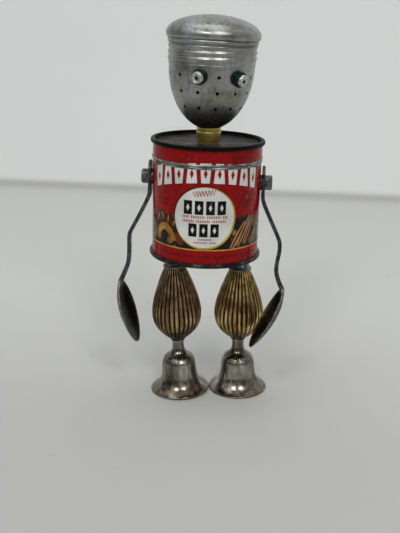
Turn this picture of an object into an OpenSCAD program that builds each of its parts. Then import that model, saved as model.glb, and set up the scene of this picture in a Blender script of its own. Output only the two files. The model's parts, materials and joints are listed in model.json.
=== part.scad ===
// A found-object robot figure: a shaker head on a brass neck, a nut-tin body with a slip lid,
// bent teaspoon arms, fluted lamp-bulb legs and bell feet. Millimetres, +Z up, the face looks to -Y.
// The origin is on the floor, under the middle of the figure.

/* [Tin] */
// Diameter over the double seams at both ends of the tin
rim_d = 87.3; // [84:0.1:92]
// Height of the tin from seam edge to seam edge
tin_h = 91.1; // [84:0.1:98]
// Outside diameter of the tin's body
body_d = 83; // [80:0.1:84]
// Outside diameter of the lid's skirt
skirt_d = 83.8; // [83:0.1:85]
// Thickness of the tinplate
plate_t = 0.5; // [0.4:0.05:0.7]
// Height of the line where the lid's skirt meets the body
lid_line = 76.2; // [70:0.1:80]
// How far each end panel lies below its seam's edge
recess = 4; // [3:0.1:5]
// Sideways lean of the tin, lid and neck, in degrees
tin_lean = 1.6; // [0:0.1:2]
// Place of the tin's lower end: sideways and above the floor
tin_at = [4.1, 118.4];

/* [Head] */
// Radius of the bowl where it is widest
bowl_r = 32; // [30:0.1:33]
// Height of the bowl's rounded underside
bowl_drop = 47.4; // [45:0.1:50]
// Wall of the bowl and of its cap
head_t = 0.9; // [0.7:0.05:1]
// Height of the cap's lower lip above the bowl's lowest point
lip_h = 63.1; // [62.9:0.1:64]
// Radius of the cap where it is widest
cap_r = 35.2; // [34:0.1:37]
// Extra lean of the head on its bolt, in degrees
head_lean = 1.7; // [0:0.1:2]
// Columns of holes around the bowl
hole_columns = 13; // [9:1:16]
// Heights of the rows of holes, the eye row first
hole_rows = [40.8, 29.4, 18];
// Diameter of the holes
hole_d = 2.5; // [1:0.1:3]
// Turn of the first hole column from straight ahead, in degrees
hole_turn = 9.1; // [0:0.1:20]
// Thickness of the rubber grommet behind each eye, left then right
grommet_t = [3.5, 5];
// Outward turn of each eye's screw from the bowl's skin, in degrees, left then right
eye_squint = [-12, 11];

/* [Neck] */
// Diameter of the brass neck
neck_d = 18.8; // [16:0.1:20]
// Height of the brass neck before its top is dished
neck_h = 11.9; // [11.5:0.1:12.5]
// Sideways place of the neck on the lid
neck_off = 0.4; // [0:0.1:2]

/* [Arms] */
// Height of each shoulder bolt on the tin, left then right
shoulder_h = [59.8, 58.2];
// Direction that each shoulder faces, in degrees, left then right
shoulder_turn = [176, -3];
// Forward swing of each arm, in degrees, left then right
arm_swing = [3, 12.5];
// Thickness of the spoon handles
spoon_t = 2.3; // [1.6:0.1:2.4]
// Width and depth of the spoon bowls
spoon_bowl_size = [31, 6.9];
// Radius of the shoulder bolts
shoulder_r = 3; // [2.5:0.1:3.2]

/* [Legs] */
// Place of each bell on the floor, left then right
bell_at = [[-16.3, -1.2], [31.8, 1.8]];
// Sideways lean of each bell, in degrees
bell_lean = [-1.8, 0];
// Sideways lean of each leg above its bell, in degrees
leg_lean = [-1.8, 0.7];
// Height of each bell with its stem
bell_h = 44.6; // [43:0.1:46]
// Radius of the flat ring that each bell stands on
bell_foot_r = 23.6; // [22:0.1:23.7]
// Wall of the bells
bell_t = 1.1; // [0.9:0.05:1.4]
// Largest radius of the fluted bulbs
bulb_r = 20.1; // [18:0.1:21]
// Height of each fluted bulb, left then right
bulb_h = [62.4, 59.7];
// Radius of the rods inside the legs
rod_r = 2.5; // [2:0.1:2.6]

/* [Hidden] */

LEFT = 0;
RIGHT = 1;
round_fn = 96;
gap = 0.3;              // between pieces that move past each other
slip = 0.06;            // radial clearance of a bore that turns on a bolt
hole_slack = 0.15;      // radial clearance of a plain bolt hole

rim_r = rim_d / 2;
body_r = body_d / 2;
skirt_r = skirt_d / 2;
seam_h = 3.1;
seam_in_r = 41;         // inside radius of the seams
lid_panel_h = tin_h - recess + plate_t; // top of the lid's panel
liner_r = body_r - plate_t - 0.05;
liner_span = [66, 84];
raw_edge_h = 1.4;       // bare metal beside the lid line, on each side

bolt_r = 3;             // neck bolt
hex_af = 10;            // across flats of the M6 heads and nuts
pole_r = bowl_r * bowl_r / bowl_drop;   // radius of the bowl's underside at its lowest point
pole_centre_h = 31.8;   // height of that curve's centre above the lid
band_span = [52.2, 62.8];               // of the band under the cap, which carries the thread
bowl_top_h = 72;
cap_wide_h = 69;
cap_rise = 14.2;
eye_columns = [-1, 1];  // hole columns that the eyes take, left then right
eye_turn = [3.2, -2];   // of each eye from its hole column
eye_droop = [8, 15];
grommet_bed = 1.6;      // how far the grommets would reach into the bowl before they are cut to it
eye_nut_gap = 2.1;      // between the bowl's wall and the eye nuts
eye_screw_r = 2.5;
eye_head_r = 4.6;
eye_head_h = 2.5;
eye_socket_af = 2.8;
grommet_r = 5.7;

shank_in = 9;           // how far the shoulder bolts reach into the tin
spacer_t = 1;
spoon_in = spacer_t + 0.15;             // inner face of a spoon's handle at the bolt
shoulder_head_at = spoon_in + spoon_t + 0.1;
shoulder_head_h = 5.4;
washer_sag = body_r - plate_t - sqrt(pow(body_r - plate_t, 2) - 36);

// Middle line of each spoon's handle: out from the tin, and up from the bolt.
spoon_line = [
    [[2.3, 13], [2.3, 4], [2.3, -8], [3.3, -15.5], [9.8, -29.5], [15.8, -41.3], [18.2, -47],
     [18.3, -57], [18.7, -68], [20.7, -75], [24.7, -83.5], [26, -89]],
    [[2.3, 13], [2.3, 4], [2.3, -7], [3, -14.8], [9, -28.3], [14.8, -41.6], [16.2, -47],
     [16.3, -53.4], [15.4, -60.4], [15.3, -67.8], [17.2, -75.2], [20.2, -81.2], [21.4, -86.4]]
];
// Root and tip of each spoon's bowl, on the plane of its rim, and the bowl's turn to the front.
spoon_root = [[25.1, -86], [20.6, -82.4]];
spoon_tip = [[9.9, -135.4], [-3.1, -128]];
bowl_turn = [6, 5];

nut_h = 4;
rod_nut_af = 8;
bell_crown_h = 31.2;    // underside of the bell's crown
bulb_wide_share = 0.37; // height of a bulb's widest place, as a share of its height
rod_end = 83.9;         // top of the leg rods above the bells
collar_r = [9.2, 6.3];

// ---- Curves ----

// Points along a cubic curve from a to d, steered by b and c.
function curve(a, b, c, d, n = 10) = [
    for (i = [0 : n])
        let (t = i / n, s = 1 - t) s * s * s * a + 3 * s * s * t * b + 3 * s * t * t * c + t * t * t * d
];

// A quarter of an ellipse about [0, cz], from angle a0 to a1.
function oval(cz, rx, rz, a0, a1, n = 18) = [
    for (i = [0 : n]) let (a = a0 + (a1 - a0) * i / n) [rx * cos(a), cz + rz * sin(a)]
];

// A path's points moved sideways by t, to its left as it runs.
function beside(path, t) = [
    for (i = [0 : len(path) - 1])
        let (d = path[min(i + 1, len(path) - 1)] - path[max(i - 1, 0)])
            path[i] + t * [-d.y, d.x] / norm(d)
];

function backward(list) = [for (i = [len(list) - 1 : -1 : 0]) list[i]];

// A smooth path through points, with n steps between neighbours.
function smooth(p, n = 4) = [
    for (i = [0 : len(p) - 2], j = [0 : i == len(p) - 2 ? n : n - 1])
        let (a = p[max(i - 1, 0)], b = p[i], c = p[i + 1], d = p[min(i + 2, len(p) - 1)], t = j / n)
            0.5 * (2 * b + t * (c - a) + t * t * (2 * a - 5 * b + 4 * c - d)
                + t * t * t * (3 * b - a - 3 * c + d))
];

// ---- Shared shapes ----

module turned(outline) rotate_extrude($fn = round_fn) polygon(outline);

// A turned sheet of even thickness: path is its outer side, and the sheet lies to its left.
module sheet(path, t) turned(concat(path, backward(beside(path, t))));

module tube(r, t, z0, z1)
    turned([[r - t, z0], [r, z0], [r, z1], [r - t, z1]]);

module hex_nut(af, h, bore) difference() {
    cylinder(d = af / cos(30), h = h, $fn = 6);
    translate([0, 0, -1]) cylinder(r = bore, h = h + 2, $fn = 48);
}

module washer(r, t, bore) difference() {
    cylinder(r = r, h = t, $fn = 64);
    translate([0, 0, -1]) cylinder(r = bore, h = t + 2, $fn = 48);
}

// Hexagon with its outer corners turned away, as on a bolt's head.
module hex_head(af, h) intersection() {
    cylinder(d = af / cos(30), h = h, $fn = 6);
    turned([[0, 0], [af, 0], [af, h - 3], [af / 2 - 0.3, h], [0, h]]);
}

// ---- Places ----

module tin_place() translate([tin_at.x, 0, tin_at.y]) rotate([0, tin_lean, 0]) children();

module neck_place() tin_place() translate([neck_off, 0, lid_panel_h]) children();

// The head leans about the centre of its rounded underside, so it turns on the bolt without rubbing.
module head_place() neck_place() translate([0, 0, pole_centre_h]) rotate([0, head_lean, 0])
    translate([0, 0, -pole_r]) children();

module shoulder_place(side) tin_place() translate([0, 0, shoulder_h[side]])
    rotate([0, 0, shoulder_turn[side]]) translate([body_r, 0, 0]) children();

module outward() rotate([0, 90, 0]) children();

module bell_place(side)
    translate([bell_at[side].x, bell_at[side].y, bell_foot_r * sin(abs(bell_lean[side]))])
        rotate([0, bell_lean[side], 0]) children();

module leg_place(side) bell_place(side) translate([0, 0, bell_h])
    rotate([0, leg_lean[side] - bell_lean[side], 0]) children();

// Keeps the part of its children above (or below) a plane square to the tin, at height h on it.
module cut_at(h, above) difference() {
    children();
    tin_place() translate([-60, -60, above ? h - 100 : h]) cube([120, 120, 100]);
}

// Height along a leg, from its bell's top, of a plane square to the tin at height h on it.
function leg_reach(side, h) =
    let (
        n = [sin(tin_lean), cos(tin_lean)],
        d = [sin(leg_lean[side]), cos(leg_lean[side])],
        foot = [bell_at[side].x, bell_foot_r * sin(abs(bell_lean[side]))]
            + bell_h * [sin(bell_lean[side]), cos(bell_lean[side])]
    ) (tin_at + h * n - foot) * n / (d * n);

// ---- Head ----

function band_path() = concat(
    oval(bowl_drop, bowl_r, bowl_drop, -88.5, 0),
    [for (h = band_span) [bowl_r + 0.35, h]],
    [[31.5, 63.6], [31.5, bowl_top_h]]
);

module bowl_solid(grow = 0)
    turned(concat(
        [[0, -grow]],
        [for (p = oval(bowl_drop, bowl_r + grow, bowl_drop + grow, -88, 0)) p],
        [[0, bowl_drop]]
    ));

module hole_at(column, row_h, r)
    rotate([0, 0, -90 + hole_turn + column * 360 / hole_columns]) translate([0, 0, row_h])
        outward() translate([0, 0, 15]) cylinder(r = r, h = 25, $fn = 24);

module head_bowl() color("silver") difference() {
    head_place() difference() {
        union() {
            sheet(band_path(), head_t);
            translate([0, 0, head_t / 2]) cylinder(r = 1.2, h = head_t / 2, $fn = 24);
        }
        for (row = [0 : len(hole_rows) - 1], column = [0 : hole_columns - 1])
            if (row > 0 || (column != 1 && column != hole_columns - 1))
                hole_at(column, hole_rows[row], hole_d / 2);
        for (side = [LEFT, RIGHT]) eye_place(side) translate([0, 0, -10])
            cylinder(r = eye_screw_r + hole_slack, h = 20, $fn = 48);
    }
    neck_place() cylinder(r = bolt_r + slip, h = 20, $fn = 64);
}

cap_path = concat(
    [[32.7, lip_h], [33.3, lip_h + 0.7], [33.5, lip_h + 1.9], [33.3, lip_h + 2.9]],
    curve([33.4, lip_h + 3], [34.7, lip_h + 3.6], [cap_r, cap_wide_h - 1.6], [cap_r, cap_wide_h], 6),
    [for (p = oval(cap_wide_h, cap_r, cap_rise, 5, 88.5)) p]
);

module head_cap() color("gainsboro") head_place() {
    sheet(cap_path, head_t);
    translate([0, 0, cap_wide_h + cap_rise - head_t]) cylinder(r = 1.2, h = head_t / 2, $fn = 24);
}

// On the bowl's skin at an eye, looking out along the screw.
module eye_place(side)
    rotate([0, 0, -90 + hole_turn + eye_turn[side] + eye_columns[side] * 360 / hole_columns])
        translate([bowl_r - 0.25, 0, hole_rows[0]]) rotate([0, 0, eye_squint[side]])
            rotate([0, 90 + eye_droop[side], 0]) children();

module eye_screw(side) color("lightgray") head_place() eye_place(side) difference() {
    union() {
        translate([0, 0, -8]) cylinder(r = eye_screw_r, h = 8 + grommet_t[side] + 0.5, $fn = 48);
        translate([0, 0, grommet_t[side]]) turned(concat(
            [[0, 0], [eye_head_r, 0]],
            curve([eye_head_r, 0.5], [eye_head_r - 0.3, 1.7], [3.4, eye_head_h], [2.4, eye_head_h], 6),
            [[0, eye_head_h]]
        ));
    }
    translate([0, 0, grommet_t[side] + 0.9]) cylinder(d = eye_socket_af / cos(30), h = 3, $fn = 6);
}

// The rubber beds on the bowl all round, although the screw stands askew.
module eye_grommet(side) color("darkgreen") head_place() difference() {
    eye_place(side) translate([0, 0, -grommet_bed])
        washer(grommet_r, grommet_t[side] + grommet_bed, eye_screw_r + 0.02);
    bowl_solid(0.06);
}

module eye_nut(side) color("lightgray") head_place() eye_place(side)
    translate([0, 0, -head_t - eye_nut_gap - nut_h]) hex_nut(rod_nut_af, nut_h, eye_screw_r + 0.02);

// ---- Neck ----

module neck_barrel() color("goldenrod") difference() {
    neck_place() difference() {
        turned([[0, 0], [neck_d / 2 - 0.9, 0], [neck_d / 2 - 0.9, 1.4], [neck_d / 2 - 0.4, 1.5],
            [neck_d / 2 - 0.4, 2.2], [neck_d / 2, 2.6], [neck_d / 2, neck_h - 3.4],
            [neck_d / 2 - 0.25, neck_h - 3], [neck_d / 2 - 0.1, neck_h], [0, neck_h]]);
        translate([0, 0, -1]) cylinder(r = bolt_r + hole_slack, h = neck_h + 2, $fn = 64);
    }
    head_place() bowl_solid(gap);
}

washer_lift = 12.3;     // of the washer in the head, above the lid's panel

module neck_bolt() color("gray") neck_place() {
    translate([0, 0, -8]) cylinder(r = bolt_r, h = 8 + washer_lift + 1.3, $fn = 64);
    translate([0, 0, washer_lift + 1.2]) hex_head(hex_af, 4);
}

module neck_washer() color("gray") neck_place() translate([0, 0, washer_lift])
    washer(6, 1.2, bolt_r + hole_slack);

module neck_nut() color("gray") neck_place() translate([0, 0, -plate_t - 5])
    hex_nut(hex_af, 5, bolt_r + 0.02);

// ---- Tin ----

// One stamped end with its double seam, the seam's edge at height 0 and the panel above it.
module stamped_end() turned([
    [0, recess - plate_t], [36, recess - plate_t], [36.4, recess - plate_t - 0.4],
    [38.9, recess - plate_t - 0.4], [39.3, recess - plate_t], [40, recess - plate_t],
    [40.4, recess - 1], [40.4, 0.8], [41.2, 0], [rim_r - 0.5, 0], [rim_r, 0.6],
    [rim_r, seam_h - 0.6], [rim_r - 0.5, seam_h], [seam_in_r, seam_h], [seam_in_r, 1],
    [40.9, 1], [40.9, recess - 0.3], [40.6, recess], [39.1, recess], [38.7, recess - 0.4],
    [36.6, recess - 0.4], [36.2, recess], [0, recess]
]);

module tin_wall() color("firebrick") tin_place() difference() {
    turned([[body_r - plate_t, seam_h], [body_r, seam_h], [body_r, lid_line - raw_edge_h - 0.2],
        [body_r + 0.25, lid_line - raw_edge_h], [body_r + 0.25, lid_line - gap / 2],
        [body_r - plate_t, lid_line - gap / 2]]);
    shoulder_holes();
}

module shoulder_holes() for (side = [LEFT, RIGHT])
    translate([0, 0, shoulder_h[side]]) rotate([0, 0, shoulder_turn[side]]) outward()
        cylinder(r = shoulder_r + hole_slack, h = 50, $fn = 48);

module tin_liner() color("lightgray") tin_place()
    tube(liner_r, plate_t, liner_span[0], liner_span[1]);

module tin_bottom() color("dimgray") difference() {
    tin_place() stamped_end();
    for (side = [LEFT, RIGHT]) leg_place(side)
        translate([0, 0, bulb_h[side]]) cylinder(r = rod_r + hole_slack, h = 40, $fn = 48);
}

module lid_end() color("darkslategray") tin_place() difference() {
    translate([0, 0, tin_h]) mirror([0, 0, 1]) stamped_end();
    translate([neck_off, 0, tin_h - 10]) cylinder(r = bolt_r + hole_slack, h = 20, $fn = 64);
}

module lid_skirt() color("firebrick") tin_place()
    turned([[skirt_r - plate_t, lid_line + gap / 2], [skirt_r + 0.25, lid_line + gap / 2],
        [skirt_r + 0.25, lid_line + raw_edge_h], [skirt_r, lid_line + raw_edge_h + 0.2],
        [skirt_r, tin_h - seam_h], [skirt_r - plate_t, tin_h - seam_h]]);

// ---- Arms ----

// Half of the handle's outline, from its round top down to the bowl: half width, height.
handle_half = concat(
    curve([0, 12.8], [4.5, 12.8], [7.6, 10.5], [7.8, 6], 6),
    curve([7.8, 6], [8, -6], [3.2, -22], [2.9, -50], 8),
    curve([2.9, -50], [2.6, -66], [2.6, -76], [3.2, -88], 6),
    [[2.6, -93]]
);

module handle(side) {
    line = smooth(spoon_line[side]);
    strip = concat(beside(line, spoon_t / 2), backward(beside(line, -spoon_t / 2)));
    mirrored = [for (p = backward(handle_half)) [-p.x, p.y]];
    intersection() {
        rotate([90, 0, 0]) translate([0, 0, -10]) linear_extrude(20) polygon(strip);
        rotate([90, 0, 90]) linear_extrude(60) polygon(concat(handle_half, mirrored));
    }
}

// One ring of the bowl's sheet: share s of the way from its deepest point to its rim.
function bowl_ring(s, len, lift, n) = [
    for (i = [0 : n - 1])
        let (a = 360 * i / n, reach = len * (cos(a) < 0 ? 0.45 : 0.55))
            [len * 0.45 + s * reach * cos(a), s * spoon_bowl_size.x / 2 * sin(a),
             spoon_bowl_size.y * (1 - pow(s, 2.3 - 0.5 * cos(a))) - lift]
];

// The spoon's bowl, its root at the origin, its tip along +X and its back to +Z.
module spoon_bowl_sheet(len, t = 1.3, rings = 6, n = 28) {
    shares = [for (k = [1 : rings]) k / rings];
    outer = [for (s = shares) each bowl_ring(s, len, 0, n)];
    inner = [for (s = shares) each bowl_ring(s, len, t, n)];
    points = concat([[len * 0.45, 0, spoon_bowl_size.y]], outer,
        [[len * 0.45, 0, spoon_bowl_size.y - t]], inner);
    far = n * rings + 1;
    faces = concat(
        [for (i = [0 : n - 1]) [0, 1 + (i + 1) % n, 1 + i]],
        [for (k = [0 : rings - 2], i = [0 : n - 1])
            let (a = 1 + k * n + i, b = 1 + k * n + (i + 1) % n) each [[a, b, b + n], [a, b + n, a + n]]],
        [for (i = [0 : n - 1]) [far, far + 1 + i, far + 1 + (i + 1) % n]],
        [for (k = [0 : rings - 2], i = [0 : n - 1])
            let (a = far + 1 + k * n + i, b = far + 1 + k * n + (i + 1) % n)
                each [[a, b + n, b], [a, a + n, b + n]]],
        [for (i = [0 : n - 1])
            let (a = 1 + (rings - 1) * n + i, b = 1 + (rings - 1) * n + (i + 1) % n)
                each [[a, b, b + far], [a, b + far, a + far]]]
    );
    polyhedron(points, faces);
}

module spoon(side) color("dimgray") shoulder_place(side)
    rotate([side == LEFT ? arm_swing[side] : -arm_swing[side], 0, 0]) {
        root = spoon_root[side];
        run = spoon_tip[side] - root;
        turn = side == LEFT ? -bowl_turn[side] : bowl_turn[side];
        difference() {
            handle(side);
            translate([-5, 0, 0]) outward() cylinder(r = shoulder_r + slip, h = 20, $fn = 64);
        }
        translate([root.x, 0, root.y]) rotate([0, 0, turn])
            rotate([0, atan2(-run.y, run.x), 0]) translate([-1, 0, 0]) spoon_bowl_sheet(norm(run));
    }

module shoulder_bolt(side) color("slategray") shoulder_place(side) outward() {
    translate([0, 0, -shank_in]) cylinder(r = shoulder_r, h = shank_in + shoulder_head_at + 0.1,
        $fn = 64);
    translate([0, 0, shoulder_head_at]) hex_head(hex_af, shoulder_head_h);
}

module shoulder_spacer(side) color("gray") shoulder_place(side) outward()
    translate([0, 0, 0.05]) washer(6, spacer_t, shoulder_r + 0.02);

module shoulder_washer(side) color("gray") shoulder_place(side) outward()
    translate([0, 0, -plate_t - washer_sag - 1.1]) washer(6, 1, shoulder_r + 0.02);

module shoulder_nut(side) color("gray") shoulder_place(side) outward()
    translate([0, 0, -plate_t - washer_sag - 1.1 - 5]) hex_nut(hex_af, 5, shoulder_r + 0.02);

// ---- Legs ----

// The bell's rim, out from the flat ring that it stands on.
bell_rim = curve([bell_foot_r, 0], [bell_foot_r + 0.4, 0.4], [bell_foot_r + 0.3, 1.2],
    [bell_foot_r - 0.3, 1.5], 4);

bell_side = concat(
    curve([bell_foot_r - 1, 1.8], [19.6, 3.5], [16.2, 7.4], [15, 12]),
    curve([14.9, 12.6], [14.2, 16], [14, 21], [13.5, 25.8], 6),
    curve([13.3, 26.4], [12.9, 28.3], [10.6, 29.8], [6.9, 32.4], 8)
);

module bell(side) color("silver") bell_place(side) difference() {
    union() {
        turned(concat(bell_rim, bell_side, backward(beside(bell_side, bell_t)),
            [[bell_foot_r - 1.6, 0]]));
        turned(concat([[0, bell_crown_h], [6.9, bell_crown_h - 0.2], [6.9, 32.6]],
            curve([6.7, 32.8], [5.4, 34], [4.9, 36.5], [4.8, 40], 6),
            [[4.8, bell_h - 1.3], [5.3, bell_h - 0.8], [5.4, bell_h - 0.3], [5.1, bell_h], [0, bell_h]]));
    }
    translate([0, 0, 20]) cylinder(r = rod_r + 0.3, h = 30, $fn = 48);
}

module bell_nut(side) color("gray") leg_place(side)
    translate([0, 0, bell_crown_h - bell_h - nut_h - 0.5]) hex_nut(rod_nut_af, nut_h, rod_r + 0.02);

function bulb_path(h) = let (wide = bulb_wide_share * h) concat(
    [[6.1, 0.1]],
    curve([6.5, 0.6], [11.5, 4.6], [bulb_r, wide - 12.6], [bulb_r, wide], 14),
    curve([bulb_r, wide + 0.5], [bulb_r, wide + 10], [13.6, h - 11.2], [8, h], 14)
);

module bulb(side) color("darkgoldenrod") leg_place(side) sheet(bulb_path(bulb_h[side]), 1.2);

// Flared cap between the bulb and the tin, cut to the tin's underside.
module collar(side) color("gray") cut_at(recess - plate_t, false) leg_place(side)
    translate([0, 0, bulb_h[side]]) difference() {
        turned(concat([[0, 0], [collar_r[0], 0], [collar_r[0] + 0.1, 0.9], [collar_r[0] - 0.6, 1.5]],
            curve([collar_r[0] - 0.9, 1.6], [7, 3.4], [6.6, 6], [collar_r[1], 10], 6),
            [[collar_r[1], 30], [0, 30]]));
        translate([0, 0, -1]) cylinder(r = rod_r + hole_slack, h = 40, $fn = 48);
        if (side == RIGHT) collar_screw_place() cylinder(r = 0.9, h = 4, $fn = 24);
    }

module collar_screw_place() rotate([0, 0, -76]) translate([4.6, 0, 4.2]) outward() children();

module right_collar_screw() color("white")
    leg_place(RIGHT) translate([0, 0, bulb_h[RIGHT]]) collar_screw_place() {
        cylinder(r = 0.88, h = 3.1, $fn = 24);
        translate([0, 0, 3.05]) turned([[0, 0], [1.25, 0], [1.1, 0.4], [0.7, 0.65], [0, 0.75]]);
    }

module leg_rod(side) color("gray") leg_place(side)
    translate([0, 0, bell_crown_h - bell_h - nut_h - 2.5])
        cylinder(r = rod_r, h = rod_end + bell_h - bell_crown_h + nut_h + 2.5, $fn = 48);

// Washer bedded on the tin's inside, so its lower side follows the panel.
module leg_washer(side) color("gray") cut_at(recess, true) leg_place(side)
    translate([0, 0, leg_reach(side, recess) - 2]) washer(6, 3.4, rod_r + 0.02);

module leg_nut(side) color("gray") leg_place(side)
    translate([0, 0, leg_reach(side, recess) + 1.4]) hex_nut(rod_nut_af, nut_h, rod_r + 0.02);

// ---- Nodes ----

head_cap();
head_bowl();
eye_screw(LEFT);  // left_eye_screw
eye_grommet(LEFT);  // left_eye_grommet
eye_nut(LEFT);  // left_eye_nut
eye_screw(RIGHT);  // right_eye_screw
eye_grommet(RIGHT);  // right_eye_grommet
eye_nut(RIGHT);  // right_eye_nut
neck_barrel();
neck_bolt();
neck_washer();
neck_nut();
lid_end();
lid_skirt();
tin_wall();
tin_liner();
tin_bottom();
spoon(LEFT);  // left_spoon
shoulder_bolt(LEFT);  // left_shoulder_bolt
shoulder_spacer(LEFT);  // left_shoulder_spacer
shoulder_washer(LEFT);  // left_shoulder_washer
shoulder_nut(LEFT);  // left_shoulder_nut
spoon(RIGHT);  // right_spoon
shoulder_bolt(RIGHT);  // right_shoulder_bolt
shoulder_spacer(RIGHT);  // right_shoulder_spacer
shoulder_washer(RIGHT);  // right_shoulder_washer
shoulder_nut(RIGHT);  // right_shoulder_nut
bell(LEFT);  // left_bell
bell_nut(LEFT);  // left_bell_nut
bulb(LEFT);  // left_bulb
collar(LEFT);  // left_collar
leg_rod(LEFT);  // left_leg_rod
leg_washer(LEFT);  // left_leg_washer
leg_nut(LEFT);  // left_leg_nut
bell(RIGHT);  // right_bell
bell_nut(RIGHT);  // right_bell_nut
bulb(RIGHT);  // right_bulb
collar(RIGHT);  // right_collar
right_collar_screw();
leg_rod(RIGHT);  // right_leg_rod
leg_washer(RIGHT);  // right_leg_washer
leg_nut(RIGHT);  // right_leg_nut
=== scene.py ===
"""Looks for a robot figure made of found household metal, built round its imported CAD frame.

Shapes are worked out in millimetres in each sub-part's own frame. A place matrix takes them to metres in
the frame that they share with the CAD, and each piece rides on the CAD body that carries it.
"""

import json
import math

import bmesh
import bpy
from mathutils import Matrix, Vector, noise


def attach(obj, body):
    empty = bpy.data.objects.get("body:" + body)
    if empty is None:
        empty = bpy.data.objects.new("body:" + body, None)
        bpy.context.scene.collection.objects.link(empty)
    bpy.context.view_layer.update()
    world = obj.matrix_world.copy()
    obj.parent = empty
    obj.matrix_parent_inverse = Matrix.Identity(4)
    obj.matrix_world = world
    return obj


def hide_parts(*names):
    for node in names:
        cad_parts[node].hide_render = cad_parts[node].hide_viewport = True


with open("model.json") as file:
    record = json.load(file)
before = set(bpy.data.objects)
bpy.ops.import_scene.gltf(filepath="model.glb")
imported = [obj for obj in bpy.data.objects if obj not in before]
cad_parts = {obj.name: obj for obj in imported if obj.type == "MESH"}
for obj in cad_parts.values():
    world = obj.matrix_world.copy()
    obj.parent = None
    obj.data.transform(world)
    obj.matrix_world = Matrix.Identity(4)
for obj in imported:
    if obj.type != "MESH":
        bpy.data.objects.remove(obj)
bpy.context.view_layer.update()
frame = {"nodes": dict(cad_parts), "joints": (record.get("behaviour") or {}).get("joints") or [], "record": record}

MM = 0.001
TURN = 2 * math.pi
FRONT = -90  # the direction that the face looks in, in degrees about Z

SIDES = ("left", "right")

# ---- Sizes, in millimetres and degrees, as on the CAD part ----

# The tin, with heights above its lower seam
BODY_R = 41.5
SKIRT_R = 41.9  # of the lid
RIM_R = 43.65  # of both double seams
SEAM_H = 3.1
TIN_H = 91.1
LID_LINE = 76.2  # where the lid meets the body
RECESS = 4.0  # of each end's panel behind its seam
PLATE_T = 0.5

# The head, with heights above the bowl's foot
HEAD_T = 0.9
BAND_R = 32.35  # of the bowl's wall under the thread
THREAD_PITCH = 4.27
LIP_H = 63.1  # of the cap's hem
CAP_R = 35.2
CAP_WIDE_H = 69.0
CAP_RISE = 14.15  # of the dome over the cap's widest height

# The eyes: how far each is turned from straight ahead, squints sideways and droops
EYE_H = 40.8
EYE_SEAT_R = 31.75
EYE_TURN = {"left": -15.39, "right": 34.79}
EYE_SQUINT = {"left": -12, "right": 11}
EYE_DROOP = {"left": 8, "right": 15}
GROMMET_R = 5.7
GROMMET_T = {"left": 3.5, "right": 5.0}

# The legs
BULB_R = 20.1
BULB_H = {"left": 62.4, "right": 59.7}
BULB_WIDE_SHARE = 0.37  # of its height, where a bulb is widest
FLUTES = 31
BELL_FOOT_R = 23.6
BELL_H = 44.6
BELL_LEAN = {"left": -1.8, "right": 0.0}
LEG_LEAN = {"left": -1.8, "right": 0.7}


# ---- Curves ----


def bezier(a, b, c, d, n):
    """Points along a cubic curve from a to d, steered by b and c."""
    points = []
    for i in range(n + 1):
        t = i / n
        s = 1 - t
        w = (s * s * s, 3 * s * s * t, 3 * s * t * t, t * t * t)
        points.append(tuple(sum(k * p[axis] for k, p in zip(w, (a, b, c, d))) for axis in range(2)))
    return points


def oval(cx, cy, rx, ry, start, end, n):
    """Points along an ellipse, its angles in degrees."""
    turns = [math.radians(start + (end - start) * i / n) for i in range(n + 1)]
    return [(cx + rx * math.cos(a), cy + ry * math.sin(a)) for a in turns]


def smooth(points, n):
    """A smooth path through points, with n steps between neighbours."""
    path = []
    for i in range(len(points) - 1):
        a, b, c, d = (Vector(points[min(max(i + k, 0), len(points) - 1)]) for k in (-1, 0, 1, 2))
        for j in range(n):
            t = j / n
            p = 2 * b + t * (c - a) + t * t * (2 * a - 5 * b + 4 * c - d)
            path.append(0.5 * (p + t * t * t * (3 * b - a - 3 * c + d)))
    return path + [Vector(points[-1])]


def beside(path, t):
    """A path's points moved sideways by t, to its left as it runs."""
    moved = []
    for i, point in enumerate(path):
        run = Vector(path[min(i + 1, len(path) - 1)]) - Vector(path[max(i - 1, 0)])
        moved.append(Vector(point) + t * Vector((-run.y, run.x)).normalized())
    return moved


def sheet(path, t):
    """The outline of a sheet of even thickness with round edges. Its outer side is path, which runs up."""
    round_steps = 4
    path = [Vector(p) for p in path]
    starts = (path[1] - path[0]).normalized()
    ends = (path[-1] - path[-2]).normalized()
    path[0] += starts * t / 2
    path[-1] -= ends * t / 2
    inner = beside(path, t)

    def cap(a, b, away):
        """The half circle from a to b that bulges away."""
        middle = (a + b) / 2
        side = (a - b) / 2
        turns = [math.pi * i / round_steps for i in range(1, round_steps)]
        return [middle + side * math.cos(k) + away * (t / 2) * math.sin(k) for k in turns]

    return path + cap(path[-1], inner[-1], ends) + inner[::-1] + cap(inner[0], path[0], -starts)


# ---- Places ----


def lean(degrees):
    """A sideways lean, with the top to +X."""
    return Matrix.Rotation(math.radians(degrees), 4, "Y")


def joint(name):
    """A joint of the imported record."""
    return next(j for j in frame["joints"] if j["name"] == name)


def axis_lean(name):
    """The sideways lean of a joint's axis, in degrees."""
    axis = joint(name)["axis"]
    return math.degrees(math.atan2(axis[0], axis[2]))


def place_under(node, turn):
    """A turned frame in mm, whose origin is under the middle of a CAD node."""
    back = turn.inverted()
    points = [back @ v.co for v in frame["nodes"][node].data.vertices]
    low = [min(p[i] for p in points) for i in range(3)]
    high = [max(p[i] for p in points) for i in range(3)]
    foot = Vector(((low[0] + high[0]) / 2, (low[1] + high[1]) / 2, low[2]))
    return Matrix.Translation(turn @ foot) @ turn @ Matrix.Scale(MM, 4)


def up(mm):
    """A shift along a place's own Z."""
    return Matrix.Translation((0, 0, mm))


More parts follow.
